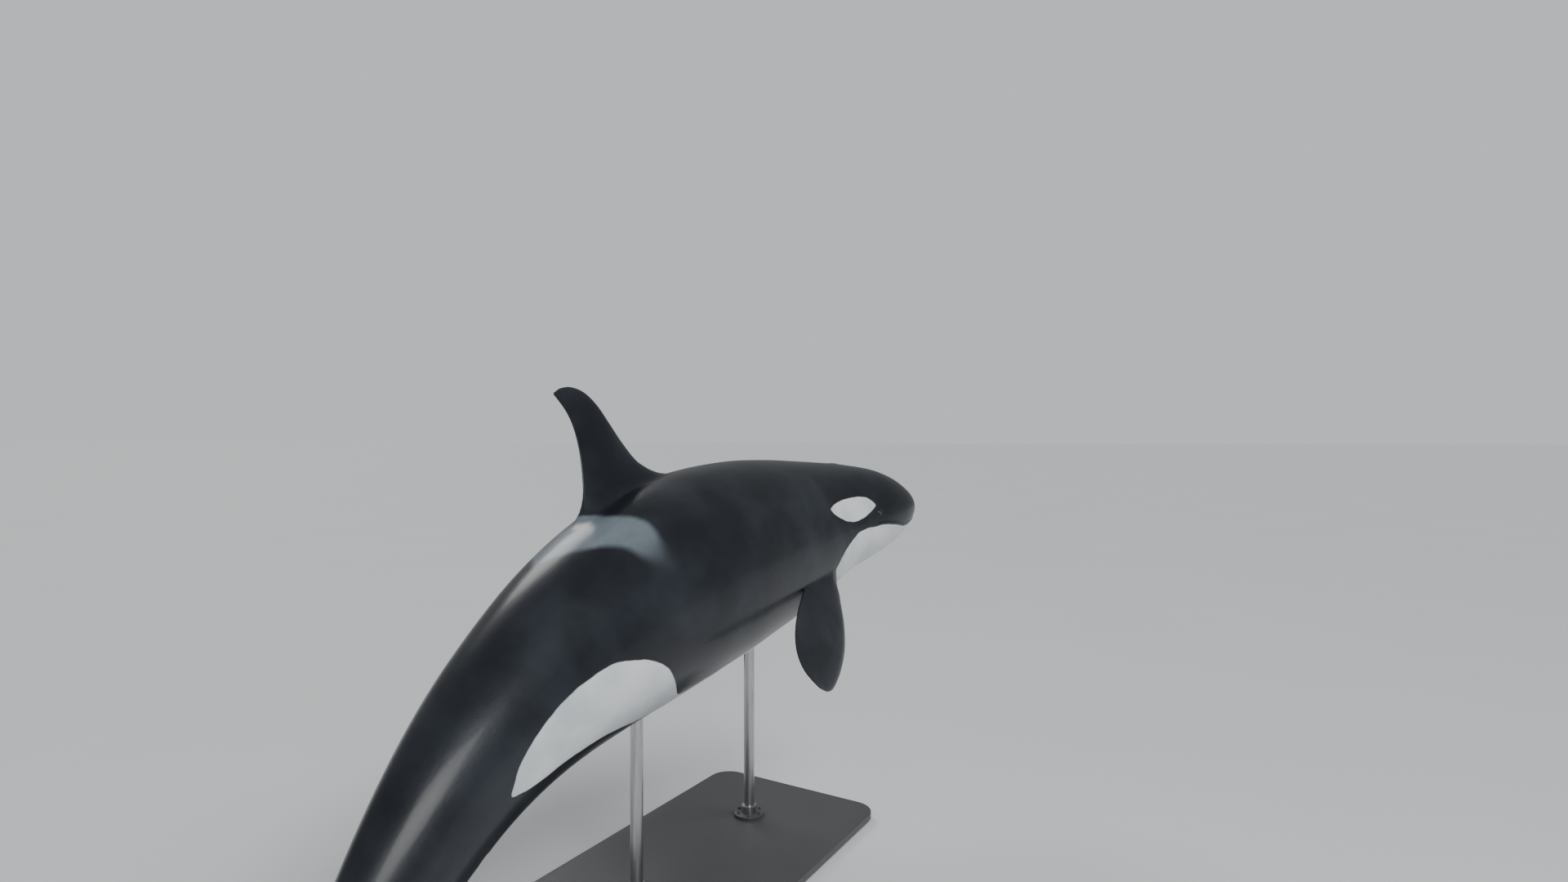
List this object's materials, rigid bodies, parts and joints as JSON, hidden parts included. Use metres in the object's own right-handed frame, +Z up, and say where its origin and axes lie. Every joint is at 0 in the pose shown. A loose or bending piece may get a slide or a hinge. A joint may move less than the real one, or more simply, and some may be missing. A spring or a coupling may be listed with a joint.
{
  "type": "orca",
  "caption": "Life-size orca, swimming with its tail low, held by a flat base and rods; black with white eye patches, belly and flanks.",
  "frame": {"origin": "middle of the stand base's underside, on the floor", "axes": "+Z up; the trunk's middle faces +X and the tail hangs towards -X; +Y is the animal's left"},
  "size_m": [5.5098, 1.916, 3.0908],
  "materials": {
    "skin_black": "smooth wet skin, soft sheen",
    "skin_white": "smooth wet skin, soft sheen",
    "skin_grey": "smooth wet skin, soft sheen",
    "eye": "wet, dark brown",
    "stand_paint": "satin paint",
    "stand_steel": "brushed"
  },
  "bodies": {
    "root": {"head": "skin_black", "lower_jaw": "skin_white", "eye_right": "eye", "eye_left": "eye", "chest": "skin_black", "belly_trunk": "skin_black", "hind_trunk": "skin_black", "tail_stock_front": "skin_black", "tail_stock_rear": "skin_black", "white_underside": "skin_white", "eye_patch_right": "skin_white", "eye_patch_left": "skin_white", "saddle_patch": "skin_grey", "dorsal_fin": "skin_black", "pectoral_fin_right": "skin_black", "pectoral_fin_left": "skin_black", "fluke_right": "skin_black", "fluke_left": "skin_black", "stand_base": "stand_paint", "stand_foot_front": "stand_paint", "stand_rod_front": "stand_steel", "stand_foot_rear": "stand_paint", "stand_rod_rear": "stand_steel"}
  },
  "joints": []
}
